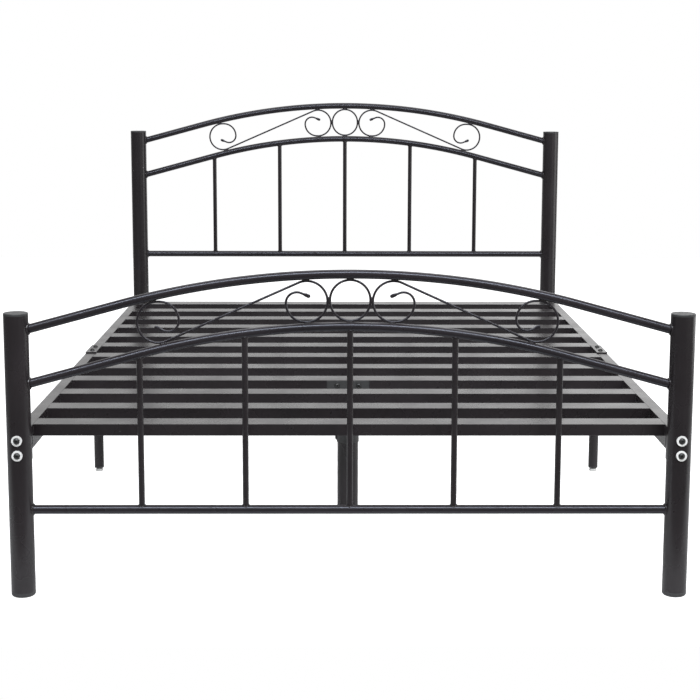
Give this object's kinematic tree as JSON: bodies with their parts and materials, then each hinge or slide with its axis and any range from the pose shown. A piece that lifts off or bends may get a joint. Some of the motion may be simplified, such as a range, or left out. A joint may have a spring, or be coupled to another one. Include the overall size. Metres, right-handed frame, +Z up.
{
  "type": "metal bed frame",
  "caption": "Double bed frame of black steel tube with arched scrollwork end boards, a slatted deck and levelling feet.",
  "frame": {"origin": "on the floor, under the centre of the four posts", "axes": "+X to the right seen from the foot of the bed, +Y from the foot board to the head board, +Z up"},
  "size_m": [1.4228, 2.023, 0.9995],
  "materials": {
    "black_powder_coat": "satin",
    "black_plastic": "matte",
    "white_plastic": "satin",
    "white_nylon": "matte",
    "zinc_steel": "zinc plated",
    "black_bolts": "black oxide"
  },
  "bodies": {
    "frame": {"head_post_left": "black_powder_coat", "head_post_right": "black_powder_coat", "head_top_arch": "black_powder_coat", "head_second_arch": "black_powder_coat", "head_lower_rail": "black_powder_coat", "head_spindle_1": "black_powder_coat", "head_spindle_2": "black_powder_coat", "head_spindle_3": "black_powder_coat", "head_spindle_4": "black_powder_coat", "head_spindle_5": "black_powder_coat", "head_ring": "black_powder_coat", "head_scroll_left": "black_powder_coat", "head_scroll_right": "black_powder_coat", "foot_post_left": "black_powder_coat", "foot_post_right": "black_powder_coat", "foot_top_arch": "black_powder_coat", "foot_second_arch": "black_powder_coat", "foot_lower_rail": "black_powder_coat", "foot_spindle_1": "black_powder_coat", "foot_spindle_2": "black_powder_coat", "foot_spindle_3": "black_powder_coat", "foot_spindle_4": "black_powder_coat", "foot_spindle_5": "black_powder_coat", "foot_ring": "black_powder_coat", "foot_scroll_left": "black_powder_coat", "foot_scroll_right": "black_powder_coat", "post_caps": "black_plastic", "post_feet": "black_plastic", "side_rail_foot_left": "black_powder_coat", "side_rail_foot_right": "black_powder_coat", "side_rail_head_left": "black_powder_coat", "side_rail_head_right": "black_powder_coat", "slat_01": "black_powder_coat", "slat_02": "black_powder_coat", "slat_03": "black_powder_coat", "slat_04": "black_powder_coat", "slat_05": "black_powder_coat", "slat_06": "black_powder_coat", "slat_07": "black_powder_coat", "slat_08": "black_powder_coat", "slat_09": "black_powder_coat", "slat_10": "black_powder_coat", "slat_11": "black_powder_coat", "slat_12": "black_powder_coat", "joint_plates": "black_powder_coat", "mid_leg_left": "black_powder_coat", "mid_leg_right": "black_powder_coat", "mid_leg_plugs": "black_plastic", "centre_leg": "black_powder_coat", "centre_leg_bracket": "black_powder_coat", "centre_leg_plug": "black_plastic", "frame_bolts": "black_bolts", "short_bolts": "black_bolts", "saddle_washers": "white_plastic"},
    "pad_left": {"glide_pad_left": "white_nylon"},
    "stem_left": {"glide_stem_left": "zinc_steel"},
    "pad_right": {"glide_pad_right": "white_nylon"},
    "stem_right": {"glide_stem_right": "zinc_steel"},
    "pad_centre": {"glide_pad_centre": "white_nylon"},
    "stem_centre": {"glide_stem_centre": "zinc_steel"}
  },
  "joints": [
    {"name": "left_glide_height", "type": "slide", "parent": "frame", "child": "pad_left", "axis": [0, 0, 1], "range_m": [-0.022, 0]},
    {"name": "left_glide_turn", "type": "hinge", "parent": "pad_left", "child": "stem_left", "pos_m": [-0.672, -0.05315, 0], "axis": [0, 0, 1], "range_deg": [-6336, 0]},
    {"name": "right_glide_height", "type": "slide", "parent": "frame", "child": "pad_right", "axis": [0, 0, 1], "range_m": [-0.022, 0]},
    {"name": "right_glide_turn", "type": "hinge", "parent": "pad_right", "child": "stem_right", "pos_m": [0.672, -0.05315, 0], "axis": [0, 0, 1], "range_deg": [-6336, 0]},
    {"name": "centre_glide_height", "type": "slide", "parent": "frame", "child": "pad_centre", "axis": [0, 0, 1], "range_m": [-0.022, 0]},
    {"name": "centre_glide_turn", "type": "hinge", "parent": "pad_centre", "child": "stem_centre", "pos_m": [0, -0.4399, 0], "axis": [0, 0, 1], "range_deg": [-6336, 0]}
  ],
  "couplings": [
    {"joint": "left_glide_turn", "follows": "left_glide_height", "rad_per_m": 5026.5},
    {"joint": "right_glide_turn", "follows": "right_glide_height", "rad_per_m": 5026.5},
    {"joint": "centre_glide_turn", "follows": "centre_glide_height", "rad_per_m": 5026.5}
  ]
}
